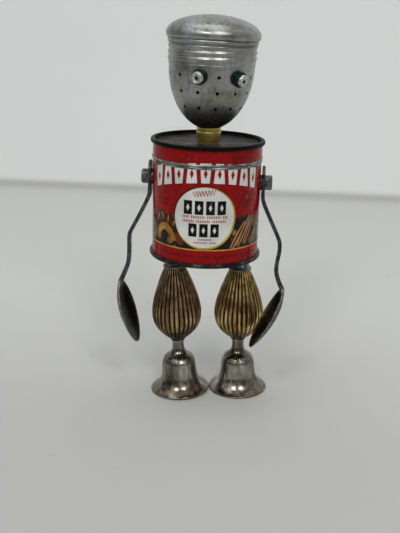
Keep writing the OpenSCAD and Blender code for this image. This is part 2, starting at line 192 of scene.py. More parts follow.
def eye_place(side):
    """On the bowl's skin at an eye, looking out along its screw."""
    spin = Matrix.Rotation(math.radians(FRONT + EYE_TURN[side]), 4, "Z")
    tip = Matrix.Rotation(math.radians(90 + EYE_DROOP[side]), 4, "Y")
    squint = Matrix.Rotation(math.radians(EYE_SQUINT[side]), 4, "Z")
    return spin @ Matrix.Translation((EYE_SEAT_R, 0, EYE_H)) @ squint @ tip


TIN = place_under("tin_bottom", lean(axis_lean("lid_lift")))
HEAD = place_under("head_cap", lean(axis_lean("cap_lift"))) @ up(-LIP_H)
BELL = {side: place_under(f"{side}_bell", lean(BELL_LEAN[side])) for side in SIDES}
EYE = {side: HEAD @ eye_place(side) for side in SIDES}
BULB = {side: place_under(f"{side}_bulb", lean(LEG_LEAN[side])) for side in SIDES}


# ---- Meshes ----

SHARP_EDGE = 38  # an edge where the surface turns by more degrees than this stays crisp
ROUND = 160  # steps round a wide turned piece


def solid(name, verts, faces, paint):
    """A new object with crisp edges only where its surface turns sharply."""
    mesh = bpy.data.meshes.new(name)
    mesh.from_pydata(verts, [], faces)
    mesh.shade_smooth()
    mesh.set_sharp_from_angle(angle=math.radians(SHARP_EDGE))
    mesh.materials.append(paint)
    made = bpy.data.objects.new(name, mesh)
    bpy.context.scene.collection.objects.link(made)
    return made


def piece(name, verts, faces, place, body, slot, stands_for=(), marks=None, paint=None):
    """A piece of the object, in its slot's paint unless it has its own.

    Each of its marks is an attribute's name with one value per vertex.
    """
    made = solid(name, [place @ Vector(v) for v in verts], faces, paint or PAINTS[slot])
    for mark, values in (marks or {}).items():
        made.data.attributes.new(mark, "FLOAT", "POINT").data.foreach_set("value", values)
    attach(made, body)
    if stands_for:
        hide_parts(*stands_for)
    return made


def turned(outline, steps, wave=None):
    """The vertices and faces of an outline of (radius, height) points, turned about Z.

    The outline runs up its outer side, and wave(angle, radius, height) is how far a point is moved out.
    """
    verts, rings = [], []
    for r, z in outline:
        if r < 1e-6:
            rings.append([len(verts)])
            verts.append((0, 0, z))
            continue
        rings.append(list(range(len(verts), len(verts) + steps)))
        for i in range(steps):
            a = TURN * i / steps
            out = r + (wave(a, r, z) if wave else 0)
            verts.append((out * math.cos(a), out * math.sin(a), z))
    loop = rings[1:] + ([] if len(rings[0]) == 1 else rings[:1])
    faces = []
    for low, high in zip(rings, loop):
        for i in range(steps):
            j = (i + 1) % steps
            if len(low) == 1:
                faces.append((low[0], high[j], high[i]))
            elif len(high) == 1:
                faces.append((low[i], low[j], high[0]))
            else:
                faces.append((low[i], low[j], high[j], high[i]))
    return verts, faces


def tube(rings, n):
    """The faces of a tube through rings of n points each, without its ends."""
    faces = []
    for i in range(rings - 1):
        for k in range(n):
            a, b = i * n + k, i * n + (k + 1) % n
            faces.append((a, a + n, b + n, b))
    return faces


def dents(depth, size, seed):
    """A wave for turned(): soft dents of about this depth and size, in mm, all of them inward."""

    def wave(a, r, z):
        """How far the point at angle a, radius r and height z is moved out."""
        where = Vector((r * math.cos(a), r * math.sin(a), z)) / size + Vector((seed, 0, 0))
        return depth * min(0, noise.noise(where) - 0.5)

    return wave


# ---- Paint ----


def add_node(tree, kind, inputs=None, **settings):
    """A node, its inputs given as sockets to link or as plain values."""
    node = tree.nodes.new(kind)
    for key, value in settings.items():
        setattr(node, key, value)
    for key, value in (inputs or {}).items():
        if isinstance(value, bpy.types.NodeSocket):
            tree.links.new(value, node.inputs[key])
        else:
            node.inputs[key].default_value = value
    return node


def colour_ramp(tree, value, stops):
    """Colours along value, from stops of (place, colour)."""
    node = add_node(tree, "ShaderNodeValToRGB", {"Fac": value})
    elements = node.color_ramp.elements
    while len(elements) < len(stops):
        elements.new(0.5)
    for element, (at, colour) in zip(elements, stops):
        element.position = at
        element.color = (*colour, 1)
    return node.outputs["Color"]


class Paint:
    """One material's nodes. Colours are linear."""

    def __init__(self, name):
        self.mat = bpy.data.materials.new(name)
        self.mat.use_nodes = True
        self.tree = self.mat.node_tree
        self.shader = self.tree.nodes["Principled BSDF"]
        self.where = self.add("ShaderNodeTexCoord").outputs["Object"]

    def add(self, kind, inputs=None, **settings):
        """A node of this material."""
        return add_node(self.tree, kind, inputs, **settings)

    def noise(self, size, detail, stretch=(1, 1, 1), rough=0.55):
        """Soft noise from 0 to 1, its blotches about size mm across and longer where stretch is above 1."""
        scale = [1 / (size * MM * s) for s in stretch]
        place = self.add("ShaderNodeMapping", {"Vector": self.where, "Scale": scale})
        facts = {"Vector": place.outputs[0], "Scale": 1, "Detail": detail, "Roughness": rough}
        return self.add("ShaderNodeTexNoise", facts).outputs["Fac"]

    def mark(self, name):
        """A mesh attribute's value."""
        return self.add("ShaderNodeAttribute", attribute_name=name).outputs["Fac"]

    def along(self, axis):
        """The place along an axis of the shared frame at rest, in metres. Along Z it is the height."""
        return self.add("ShaderNodeSeparateXYZ", {"Vector": self.where}).outputs[axis]

    def fit(self, value, low, high, a=0.0, b=1.0):
        """The value, spread from low..high to a..b and held within them."""
        facts = {"Value": value, "From Min": low, "From Max": high, "To Min": a, "To Max": b}
        return self.add("ShaderNodeMapRange", facts, interpolation_type="SMOOTHSTEP").outputs[0]

    def math(self, operation, a, b=0.0):
        """The result of a maths operation on one or two values."""
        return self.add("ShaderNodeMath", {0: a, 1: b}, operation=operation).outputs[0]

    def mix(self, share, a, b):
        """Colour a where share is 0, and b where it is 1."""
        node = self.add("ShaderNodeMix", data_type="RGBA")
        share_key, a_key, b_key, colour_key = 0, 6, 7, 2
        for key, value in ((share_key, share), (a_key, a), (b_key, b)):
            if isinstance(value, bpy.types.NodeSocket):
                self.tree.links.new(value, node.inputs[key])
            elif key == share_key:
                node.inputs[key].default_value = value
            else:
                node.inputs[key].default_value = (*value, 1)
        return node.outputs[colour_key]

    def ramp(self, value, *stops):
        """Colours along value, from stops of (place, colour)."""
        return colour_ramp(self.tree, value, stops)

    def bump(self, value, depth):
        """Bumps the surface by depth mm where value is 1."""
        facts = {"Height": value, "Distance": depth * MM}
        if self.shader.inputs["Normal"].links:
            facts["Normal"] = self.shader.inputs["Normal"].links[0].from_socket
        node = self.add("ShaderNodeBump", facts)
        self.tree.links.new(node.outputs[0], self.shader.inputs["Normal"])

    def set(self, **values):
        """Values for the shader, by input name with _ for a space."""
        for key, value in values.items():
            socket = self.shader.inputs[key.replace("_", " ")]
            if isinstance(value, bpy.types.NodeSocket):
                self.tree.links.new(value, socket)
            elif isinstance(value, tuple):
                socket.default_value = (*value, 1)
            else:
                socket.default_value = value
        return self.mat


def aged_aluminium(full_grime_shade_h, no_grime_shade_h, pits_h):
    """Dull spun aluminium: streaked, black low down with grime and with painted shade that stands for the dark
    lid's reflection, and pitted above pits_h, in metres.
    """
    p = Paint("aged_aluminium")
    cloud = p.noise(16, 5)
    spun = p.noise(1.3, 3, (9, 9, 0.3))
    streak = p.noise(1.7, 5, (1, 1, 9))
    base = p.ramp(
        cloud, (0.3, (0.20, 0.20, 0.165)), (0.5, (0.35, 0.35, 0.33)), (0.72, (0.45, 0.46, 0.51))
    )
    base = p.mix(p.fit(streak, 0.52, 0.74, 0, 0.6), base, (0.12, 0.115, 0.09))
    base = p.mix(p.fit(spun, 0.5, 0.75, 0, 0.4), base, (0.13, 0.13, 0.12))
    base = p.mix(p.fit(p.noise(6, 5), 0.57, 0.70, 0, 0.55), base, (0.09, 0.085, 0.075))
    crown = p.fit(p.along("Z"), pits_h, pits_h + 0.006)
    pit = p.math("MULTIPLY", crown, p.fit(p.noise(1.5, 2), 0.59, 0.65))
    base = p.mix(pit, base, (0.04, 0.036, 0.03))
    # Low on the bowl the colour goes dark and then black: partly grime, partly painted shade and a painted
    # reflection of the dark lid below.
    wander = p.math("MULTIPLY", p.math("SUBTRACT", streak, 0.5), 0.03)
    level = p.math("ADD", p.along("Z"), wander)
    base = p.mix(p.fit(level, full_grime_shade_h, no_grime_shade_h, 0.8, 0), base, (0.055, 0.053, 0.05))
    black = p.fit(level, full_grime_shade_h - 0.008, no_grime_shade_h - 0.013, 0.9, 0)
    base = p.mix(black, base, (0.018, 0.017, 0.016))
    p.bump(p.noise(9, 3), 0.3)
    p.bump(spun, 0.05)
    p.bump(p.math("SUBTRACT", 1.0, pit), 0.15)
    shine = p.fit(p.math("ADD", cloud, p.math("MULTIPLY", spun, 0.4)), 0.4, 1.0, 0.25, 0.42)
    rough = p.math("ADD", shine, p.fit(level, full_grime_shade_h, no_grime_shade_h, 0.16, 0))
    return p.set(Base_Color=base, Metallic=0.94, Roughness=rough)


def plain_steel(name, tone, dark, rough):
    """Handled steel with dull patches."""
    p = Paint(name)
    cloud = p.noise(3.5, 4)
    base = p.mix(p.fit(cloud, 0.42, 0.62), tone, dark)
    p.bump(p.noise(0.6, 3), 0.015)
    shine = p.fit(cloud, 0.3, 0.7, rough - 0.08, rough + 0.14)
    return p.set(Base_Color=base, Metallic=0.95, Roughness=shine)


def zinc():
    """Zinc-plated screws, their sockets painted near black as shade."""
    p = Paint("zinc")
    cloud = p.noise(1.2, 4)
    base = p.mix(p.fit(cloud, 0.42, 0.62), (0.60, 0.62, 0.61), (0.32, 0.33, 0.32))
    # Inside the socket the paint goes near black and stops being metal: painted shade.
    base = p.mix(p.mark("socket_shade"), base, (0.004, 0.004, 0.004))
    p.bump(p.noise(0.6, 3), 0.05)
    metal = p.fit(p.mark("socket_shade"), 0, 1, 0.9, 0)
    return p.set(Base_Color=base, Metallic=metal, Roughness=p.fit(cloud, 0.3, 0.7, 0.26, 0.5))


def green_rubber():
    """Dark green rubber, polished by handling."""
    p = Paint("green_rubber")
    cloud = p.noise(2.5, 3)
    base = p.mix(p.fit(cloud, 0.4, 0.65), (0.0006, 0.004, 0.002), (0.0015, 0.026, 0.013))
    p.bump(p.noise(0.7, 3), 0.03)
    return p.set(Base_Color=base, Roughness=p.fit(cloud, 0.3, 0.7, 0.2, 0.42), Specular_IOR_Level=0.16)


def old_brass():
    """Brushed brass with a brown patina."""
    p = Paint("old_brass")
    cloud = p.noise(7, 4)
    lines = p.noise(0.7, 3, (6, 6, 0.35))
    base = p.mix(p.fit(cloud, 0.4, 0.68), (0.80, 0.65, 0.20), (0.50, 0.38, 0.10))
    base = p.mix(p.fit(lines, 0.5, 0.75, 0, 0.3), base, (0.16, 0.12, 0.035))
    p.bump(lines, 0.003)
    return p.set(Base_Color=base, Metallic=0.95, Roughness=p.fit(cloud, 0.3, 0.7, 0.24, 0.36))


def dark_lid():
    """Oxidised lacquer on the lid: a brown panel, stained and streaked dark partly as painted reflection, in a
    black-green rim.
    """
    p = Paint("dark_lid")
    cloud = p.noise(13, 5)
    streak = p.noise(4, 5, (5, 1, 1))
    panel = p.ramp(
        cloud, (0.35, (0.010, 0.008, 0.007)), (0.52, (0.030, 0.025, 0.022)), (0.7, (0.085, 0.070, 0.062))
    )
    # Dark streaks across the panel: partly stains, partly painted reflection.
    panel = p.mix(p.fit(streak, 0.52, 0.66, 0, 0.85), panel, (0.005, 0.005, 0.005))
    rub = p.fit(p.noise(5, 5, (1.6, 1.6, 0.3)), 0.60, 0.74, 0, 0.6)
    rim = p.mix(rub, (0.003, 0.004, 0.004), (0.05, 0.062, 0.056))
    base = p.mix(p.mark("rim"), panel, rim)
    p.bump(p.noise(2, 4), 0.03)
    return p.set(Base_Color=base, Roughness=p.fit(streak, 0.3, 0.7, 0.32, 0.5), Specular_IOR_Level=0.06)


def worn_base():
    """Tinplate of the lower end: dark, rubbed grey in patches, with a blue-green bloom."""
    p = Paint("worn_base")
    cloud = p.noise(7, 5)
    base = p.ramp(
        cloud, (0.38, (0.010, 0.009, 0.008)), (0.54, (0.026, 0.023, 0.021)), (0.70, (0.16, 0.16, 0.155))
    )
    base = p.mix(p.fit(p.noise(9, 3), 0.58, 0.66, 0, 0.8), base, (0.06, 0.15, 0.15))
    p.bump(p.noise(1.2, 3), 0.03)
    rough = p.fit(cloud, 0.3, 0.7, 0.3, 0.48)
    return p.set(Base_Color=base, Metallic=0.45, Roughness=rough, Specular_IOR_Level=0.2)


def raw_edge():
    """Bare grey-green edge where the tin was opened."""
    p = Paint("raw_edge")
    cloud = p.noise(5, 5, (1.5, 1.5, 0.4))
    base = p.ramp(
        cloud, (0.36, (0.03, 0.045, 0.04)), (0.5, (0.17, 0.21, 0.195)), (0.66, (0.56, 0.61, 0.59))
    )
    p.bump(p.noise(1, 3), 0.03)
    return p.set(Base_Color=base, Metallic=0.8, Roughness=p.fit(cloud, 0.3, 0.7, 0.26, 0.45))


def litho(name, colour, dark):
    """Printed ink on tinplate under varnish, rubbed down to the metal most where the arms swing."""
    p = Paint(name)
    cloud = p.noise(14, 4)
    scuff = p.noise(3.2, 6, (0.6, 0.6, 2.2), 0.7)
    side = p.fit(p.math("ABSOLUTE", p.along("X")), 0.028, 0.042)
    tone = p.mix(p.fit(cloud, 0.3, 0.75), colour, dark)
    worn = p.math("ADD", scuff, p.math("MULTIPLY", side, 0.07))
    base = p.mix(p.fit(worn, 0.655, 0.69, 0, 0.85), tone, (0.20, 0.19, 0.17))
    p.bump(p.noise(22, 2), 0.3)
    rough = p.fit(scuff, 0.45, 0.75, 0.14, 0.36)
    return p.set(Base_Color=base, Roughness=rough, Specular_IOR_Level=0.13)


def tarnished_spoon():
    """Nearly black plate, rubbed bright along the edges and greyer on the backs of the bowls."""
    p = Paint("tarnished_spoon")
    cloud = p.noise(9, 5)
    base = p.ramp(
        cloud, (0.3, (0.005, 0.0045, 0.0045)), (0.55, (0.013, 0.0105, 0.010)), (0.8, (0.045, 0.037, 0.033))
    )
    worn = p.math("MULTIPLY", p.mark("edge"), p.fit(p.noise(3, 4), 0.38, 0.62, 0.35, 1.0))
    base = p.mix(worn, base, (0.36, 0.355, 0.345))
    p.bump(p.noise(1.4, 4), 0.02)
    return p.set(Base_Color=base, Metallic=0.97, Roughness=p.fit(cloud, 0.3, 0.75, 0.42, 0.26))


def fluted_brass():
    """Brass flutes, rubbed gold on their crests and painted brighter there as highlights, and painted black in
    their grooves as shade. The left bulb is browner.
    """
    p = Paint("fluted_brass")
    cloud = p.noise(11, 5)
    streak = p.noise(1.8, 4, (1, 1, 12))
    gold = p.ramp(
        cloud, (0.32, (0.36, 0.20, 0.06)), (0.5, (0.70, 0.47, 0.16)), (0.68, (1.0, 0.80, 0.40))
    )
    brown = p.ramp(
        cloud, (0.32, (0.20, 0.11, 0.065)), (0.5, (0.44, 0.28, 0.14)), (0.72, (0.95, 0.74, 0.42))
    )
    right = p.fit(p.along("X"), -0.004, 0.018)
    crest = p.mix(right, brown, gold)
    # The left bulb is darker low down.
    low = p.fit(p.along("Z"), 0.048, 0.072, 0.7, 0)
    left_low_dark = p.math("MULTIPLY", low, p.math("SUBTRACT", 1.0, right))
    crest = p.mix(left_low_dark, crest, (0.10, 0.055, 0.025))
    crest = p.mix(p.fit(streak, 0.47, 0.64, 0, 0.75), crest, (0.08, 0.042, 0.02))
    # Off the crests the colour darkens to black in the grooves: painted shade, which leaves the crests as painted
    # highlights.
    base = p.mix(p.fit(p.mark("groove"), 0.14, 0.5, 0, 0.8), crest, (0.06, 0.036, 0.02))
    base = p.mix(p.fit(p.mark("groove"), 0.5, 0.9), base, (0.005, 0.003, 0.002))
    p.bump(streak, 0.02)
    return p.set(Base_Color=base, Metallic=0.94, Roughness=p.fit(p.mark("groove"), 0.1, 0.7, 0.16, 0.5))


def silver_plate():
    """Tarnished silver plate, still glossy, with upright streaks, a brown lip and a stem painted dark as a painted
    reflection.
    """
    p = Paint("silver_plate")
    cloud = p.noise(9, 4, (1, 1, 3))
    streak = p.noise(2.6, 5, (1, 1, 7))
    base = p.ramp(
        cloud, (0.34, (0.075, 0.065, 0.048)), (0.5, (0.24, 0.22, 0.18)), (0.66, (0.50, 0.48, 0.43))
    )
    base = p.mix(p.fit(streak, 0.52, 0.72, 0, 0.6), base, (0.06, 0.05, 0.036))
    # The stem between the shoulder and the flange is painted darker: painted reflection.
    above_shoulder = p.fit(p.along("Z"), 0.0285, 0.031, 0, 0.5)
    below_flange = p.fit(p.along("Z"), 0.0422, 0.0432, 1, 0)
    stem = p.math("MULTIPLY", above_shoulder, below_flange)
    base = p.mix(stem, base, (0.06, 0.056, 0.05))
    ragged = p.math("ADD", p.along("Z"), p.math("MULTIPLY", cloud, 0.02))
    lip = p.fit(ragged, 0.010, 0.026, 0.8, 0)
    base = p.mix(lip, base, (0.15, 0.11, 0.08))
    p.bump(p.noise(7, 2), 0.08)
    return p.set(Base_Color=base, Metallic=1.0, Roughness=p.fit(streak, 0.3, 0.75, 0.13, 0.34))


def pewter():
    """Grey cast collar."""
    p = Paint("pewter")
    cloud = p.noise(4, 5)
    base = p.ramp(
        cloud, (0.3, (0.06, 0.066, 0.063)), (0.5, (0.20, 0.205, 0.19)), (0.72, (0.42, 0.42, 0.39))
    )
    p.bump(p.noise(1, 3), 0.03)
    return p.set(Base_Color=base, Metallic=0.75, Roughness=p.fit(cloud, 0.3, 0.7, 0.34, 0.55))


PAINTS = {
    # The head is painted dark low down, with grime and painted shade.
    "head_aluminium": aged_aluminium(full_grime_shade_h=0.220, no_grime_shade_h=0.243, pits_h=0.288),
    "eye_steel": zinc(),
    "grommet_rubber": green_rubber(),
    "neck_brass": old_brass(),
    "hardware_steel": plain_steel("hardware_steel", (0.15, 0.155, 0.145), (0.05, 0.05, 0.043), 0.36),
    "lid_top": dark_lid(),
    "red_litho": litho("red_litho", (0.32, 0.004, 0.004), (0.19, 0.003, 0.004)),
    "bare_tin": plain_steel("bare_tin", (0.38, 0.39, 0.36), (0.18, 0.18, 0.15), 0.4),
    "tin_base": worn_base(),
    "spoon_metal": tarnished_spoon(),
    "bulb_brass": fluted_brass(),
    "collar_metal": pewter(),
    "bell_silver": silver_plate(),
}
for row in frame["record"]["subparts"]:
    node = frame["nodes"][row["node"]]
    node.data.materials.clear()
    node.data.materials.append(PAINTS[row["material_slot"]])
frame["nodes"]["right_collar_screw"].data.materials[0] = PAINTS["eye_steel"]


# ---- Head ----


def head_cap():
    """The domed cap with its rolled hem."""
    hem_r, hem_half = 32.9, 1.5
    hem = [(hem_r, LIP_H), *oval(hem_r, LIP_H + hem_half, 1.0, hem_half, -75, 68, 8)]
    crease = (hem_r + 0.45, LIP_H + 2 * hem_half)
    neck = bezier(crease, (34.7, LIP_H + 3.2), (CAP_R, CAP_WIDE_H - 2.3), (CAP_R, CAP_WIDE_H), 8)
    dome = oval(0, CAP_WIDE_H, CAP_R, CAP_RISE, 4, 89, 26)
    outline = sheet(hem + neck + dome, HEAD_T)
    verts, faces = turned(outline, ROUND, dents(0.25, 18, 3.1))
    piece("cap_shell", verts, faces, HEAD, "cap", "head_aluminium", ["head_cap"])


def head_thread():
    """The rolled thread under the cap: one bead that climbs round the bowl and ends under the cap's hem."""
    turns, half_width, rise, top_h = 3, 2.05, 0.8, 62.95
    first_front_h = 52.5
    start_h = first_front_h - THREAD_PITCH / 2
    steps, fade, across = turns * 120, 24, 11
    sunk, buried = 0.06, 0.4
    verts = []
    for i in range(steps + 1):
        a = math.radians(FRONT + 180) + TURN * turns * i / steps
        h = start_h + THREAD_PITCH * turns * i / steps
        swell = rise * min(1, i / fade, (steps - i) / fade)
        section = []
        for k in range(across):
            s = 2 * k / (across - 1) - 1
            section.append((BAND_R - sunk + swell * math.cos(s * math.pi / 2) ** 1.6, s))
        section += [(BAND_R - buried, 1), (BAND_R - buried, -1)]
        for r, s in section:
            verts.append((r * math.cos(a), r * math.sin(a), min(h + s * half_width, top_h)))
    n = len(section)
    start, end = range(n), range(steps * n, (steps + 1) * n)
    faces = tube(steps + 1, n) + [tuple(start), tuple(reversed(end))]
    piece("head_thread", verts, faces, HEAD, "head", "head_aluminium")


def head_ledge():
    """The low ledge where the bowl's wall starts to round in."""
    foot, mid, top, inside = 47.7, 48.35, 49, 31.6
    bead = oval(inside + 0.5, mid, 0.4, 0.45, -60, 60, 6)
    outline = [(inside, foot), (32.0, foot + 0.1), *bead, (32.0, top - 0.1), (inside, top)]
    verts, faces = turned(outline, ROUND)
    piece("head_ledge", verts, faces, HEAD, "head", "head_aluminium")


def eye_grommet(side):
    """A rubber grommet: a thick ring with soft edges, bedded on the bowl."""
    bore, soft, bed = 2.5, 1.3, 1.6
    top = GROMMET_T[side]
    shoulder = oval(GROMMET_R - soft, top - soft, soft, soft, 0, 90, 8)
    outline = [(bore, -bed), (GROMMET_R - 0.3, -bed), *shoulder, (bore + 0.5, top), (bore, top - 0.3)]
    verts, faces = turned(outline, 72)
    piece(f"{side}_grommet", verts, faces, EYE[side], "head", "grommet_rubber", [f"{side}_eye_grommet"])


def eye_screw(side):
    """A button-head screw with a socket in its crown, painted near black as shade."""
    base, crown = GROMMET_T[side] + 0.2, GROMMET_T[side] + 2.5
    r, shank_r, socket = 4.6, 2.5, 1.25
    outline = [(0, -8), (shank_r, -8), (shank_r, base)]
    outline += oval(r - 0.35, base + 0.35, 0.35, 0.35, -90, 20, 4)
    outline += bezier((r - 0.1, base + 0.6), (r - 0.3, base + 1.8), (3.8, crown), (3.3, crown - 0.05), 8)
    rim = (socket, crown - 0.65)
    outline += bezier((3.1, crown - 0.15), (2.6, crown - 0.7), (2.2, crown - 0.6), rim, 6)
    outline += [(socket, crown - 1.7), (0, crown - 1.9)]
    verts, faces = turned(outline, 64)
    # The socket's inside is marked for painted shade.
    shaded_r = socket + 0.1
    marks = {"socket_shade": [1 if math.hypot(x, y) < shaded_r and z > 0 else 0 for x, y, z in verts]}
    nodes = [f"{side}_eye_screw"]
    piece(f"{side}_eye_button", verts, faces, EYE[side], "head", "eye_steel", nodes, marks)


head_cap()
head_thread()
head_ledge()
for side in SIDES:
    eye_grommet(side)
    eye_screw(side)


# ---- Tin ----


def stamped_end(name, place, body, slot, node):
    """A stamped end with a rounded double seam, the seam's edge at 0 and the panel above it."""
    under, step = RECESS - PLATE_T, 0.4
    rise = bezier((35.6, under), (36.4, under), (36.2, under - step), (37, under - step), 5)
    fall = bezier((38, under - step), (38.8, under - step), (38.4, under), (39.2, under), 5)
    panel = [(35.4, under), *rise, *fall]
    chuck = [*oval(39.4, under - 1, 1, 1, 90, 0, 5), *oval(41.4, 1, 1, 1, 180, 270, 5)]
    seam = oval(RIM_R - 1.1, 1.1, 1.1, 1.1, -90, 0, 6)
    seam += oval(RIM_R - 0.8, SEAM_H - 0.8, 0.8, 0.8, 0, 90, 5)
    back = [(41.0, SEAM_H), (41.0, 1.2), (40.9, 1.2), (40.9, RECESS - 0.8)]
    corner = oval(40.2, RECESS - 0.7, 0.7, 0.7, 0, 90, 4)
    top = [(x, y + PLATE_T) for x, y in reversed(panel)]
    outline = [(0, under), *panel, *chuck, *seam, *back, *corner, *top, (0, RECESS)]
    verts, faces = turned(outline, ROUND, dents(0.12, 25, 7.7))
    marks = {"rim": [1 if math.hypot(x, y) > 40.7 or z < 1.5 else 0 for x, y, z in verts]}
    piece(name, verts, faces, place, body, slot, [node], marks)


def ring(name, r, low, high, bulge, body, slot, paint):
    """A rounded band round the tin."""
    mid, half = (low + high) / 2, (high - low) / 2
    outline = [(r - 0.05, low), *oval(r - 0.02, mid, bulge, half, -85, 85, 8), (r - 0.05, high)]
    verts, faces = turned(outline, ROUND, dents(0.1, 9, 1.3))
    piece(name, verts, faces, TIN, body, slot, paint=paint)


UPSIDE_DOWN = Matrix.Scale(-1, 4, (0, 0, 1))
RAW = raw_edge()
RAW_R, RAW_GAP, RAW_H, RAW_BULGE = 0.2, 0.2, 1.6, 0.45  # on both sides of the lid line
stamped_end("lid_shell", TIN @ up(TIN_H) @ UPSIDE_DOWN, "lid", "lid_top", "lid_end")
stamped_end("base_shell", TIN, "tin", "tin_base", "tin_bottom")
low, high = LID_LINE + RAW_GAP, LID_LINE - RAW_GAP
ring("lid_raw_edge", SKIRT_R + RAW_R, low, low + RAW_H, RAW_BULGE, "lid", "bare_tin", RAW)
ring("tin_raw_edge", BODY_R + RAW_R, high - RAW_H, high, RAW_BULGE, "tin", "bare_tin", RAW)


# ---- Label ----


def heap_paint():
    """Nuts too deep in the heap to draw: brown lumps of many tones with black between them."""
    p = Paint("ink_heap")
    place = p.add("ShaderNodeMapping", {"Vector": p.where, "Scale": (230, 230, 170)})
    cells = p.add("ShaderNodeTexVoronoi", {"Vector": place.outputs[0], "Scale": 1}, feature="F1")
    tone = p.add("ShaderNodeSeparateColor", {"Color": cells.outputs["Color"]}).outputs["Red"]
    lump = p.ramp(
        tone,
        (0.2, (0.020, 0.007, 0.004)),
        (0.55, (0.060, 0.018, 0.007)),
        (0.8, (0.17, 0.075, 0.02)),
        (0.95, (0.26, 0.16, 0.07)),
    )
    base = p.mix(p.fit(cells.outputs["Distance"], 0.25, 0.62), lump, (0.004, 0.003, 0.003))
    p.bump(p.noise(22, 2), 0.25)
    rough = p.fit(p.noise(3, 5), 0.4, 0.7, 0.16, 0.4)
    return p.set(Base_Color=base, Roughness=rough, Specular_IOR_Level=0.22)


INK_WHITE = litho("ink_white", (0.74, 0.75, 0.72), (0.60, 0.60, 0.56))
INK_BLACK = litho("ink_black", (0.003, 0.003, 0.004), (0.006, 0.006, 0.007))
INK_GOLD = litho("ink_gold", (0.60, 0.40, 0.05), (0.34, 0.19, 0.03))
INK_RED = litho("ink_red", (0.42, 0.03, 0.03), (0.30, 0.02, 0.02))
INK_WINE = litho("ink_wine", (0.10, 0.003, 0.004), (0.07, 0.003, 0.004))
INK_CREAM = litho("ink_cream", (0.52, 0.34, 0.15), (0.36, 0.20, 0.08))
INK_TAN = litho("ink_tan", (0.42, 0.20, 0.02), (0.17, 0.05, 0.008))
INK_NUT = litho("ink_nut", (0.13, 0.034, 0.008), (0.035, 0.009, 0.004))
INK_STONE = litho("ink_stone", (0.22, 0.15, 0.08), (0.12, 0.07, 0.035))
INK_HEAP = heap_paint()


def disc(u, h, r):
    """A round outline."""
    n = 72
    return [(u + r * math.cos(TURN * i / n), h + r * math.sin(TURN * i / n)) for i in range(n)]


def bar(u, h, width, height):
    """An upright bar with the middle of its foot at (u, h)."""
    w = width / 2
    return [(u - w, h), (u + w, h), (u + w, h + height), (u - w, h + height)]


def diamond(u, h, width, height):
    """A diamond round (u, h)."""
    return [(u - width / 2, h), (u, h - height / 2), (u + width / 2, h), (u, h + height / 2)]


def ribbon(points, width):
    """A curved line through points, narrow at both ends and widest in its middle."""
    path = smooth(points, 6)
    last = len(path) - 1
    right, left = [], []
    for i, (point, away) in enumerate(zip(path, beside(path, 1))):
        share = min(max(i / last, 0.04), 0.96)
        half = width / 2 * (0.25 + 0.75 * math.sin(math.pi * share) ** 0.5)
        right.append(tuple(point + (away - point) * half * -1))
        left.append(tuple(point + (away - point) * half))
    return right + left[::-1]


def on_nut(u, h, turn, x, y):
    """The point x along and y across a nut that lies at (u, h), its long axis turned from level."""
    a = math.radians(turn)
    return (u + x * math.cos(a) - y * math.sin(a), h + x * math.sin(a) + y * math.cos(a))


def nut(u, h, length, width, turn):
    """An almond-shaped outline."""
    points = []
    n = 36
    for i in range(n):
        t = TURN * i / n
        x = length / 2 * math.cos(t)
        y = width / 2 * math.sin(t) * (1 - 0.22 * math.cos(t))
        points.append(on_nut(u, h, turn, x, y))
    return points


def printed(name, shapes, layer, paint, lid=False, low=0.0, high=TIN_H):
    """Ink on the tin, front and back, from outlines of (across, height) in mm from the middle of the front.

    The ink is cut to the heights from low to high, and each layer lies over the one before.
    """
    strip, strips = 1.4, 46
    bm = bmesh.new()
    for shape in shapes:
        bm.faces.new([bm.verts.new((u, h, 0)) for u, h in shape])
    cuts = [((0, low, 0), (0, -1, 0)), ((0, high, 0), (0, 1, 0))]
    cuts += [((i * strip, 0, 0), (1, 0, 0)) for i in range(-strips, strips + 1)]
    for at, way in cuts:
        everything = bm.verts[:] + bm.edges[:] + bm.faces[:]
        bmesh.ops.bisect_plane(bm, geom=everything, plane_co=at, plane_no=way, clear_outer=way[1] != 0)
    bm.normal_update()
    bm.verts.index_update()
    flat = [[v.index for v in (f.verts if f.normal.z > 0 else reversed(f.verts))] for f in bm.faces]
    spots = [tuple(v.co) for v in bm.verts]
    bm.free()
    edges = {(a, b) for loop in flat for a, b in zip(loop, loop[1:] + loop[:1])}
    rim = [(a, b) for a, b in edges if (b, a) not in edges]
    skin = SKIRT_R if lid else BODY_R
    verts, faces = [], []
    for turn in (0, math.pi):
        for r in (skin + 0.03 * layer, skin - 0.02):
            start = len(verts)
            for u, h, _ in spots:
                a = math.radians(FRONT) + turn + u / skin
                verts.append((r * math.cos(a), r * math.sin(a), h))
        top = start - len(spots)
        faces += [[top + v for v in loop] for loop in flat]
        faces += [[start + v for v in reversed(loop)] for loop in flat]
        faces += [[top + b, top + a, start + a, start + b] for a, b in rim]
    piece(name, verts, faces, TIN, "lid" if lid else "tin", "red_litho", paint=paint)


def arch(u, share):
    """The height of the arched row over u, where share is 0 at its lower edge and 1 at its upper edge."""
    half_row = 46
    lower = 64.6 - 7.6 * (u / half_row) ** 2
    upper = 79.2 - 6.6 * (u / half_row) ** 2
    return lower + (upper - lower) * share


def even_row(start, count, width, gap):
    """Where each block of an even row starts and ends."""
    return [(start + i * (width + gap), start + i * (width + gap) + width) for i in range(count)]


ROW = even_row(-46.4, 9, 8.3, 1.9)


def keystones(du=0.0, dh=0.0):
    """The arched row of blocks, moved by du and dh. Each is wider at its foot or its head by turns."""
    shapes = []
    for i, (a, b) in enumerate(ROW):
        foot, head = (0, 1.3) if i % 2 else (1.1, 0)
        corners = [(a + foot, 0), (b - foot, 0), (b - head, 1), (a + head, 1)]
        shapes.append([(u + du, arch(u, share) + dh) for u, share in corners])
    return shapes


def diamonds():
    """One diamond in the middle of each block."""
    return [diamond((a + b) / 2, arch((a + b) / 2, 0.47), (b - a) * 0.36, 7.4) for a, b in ROW]


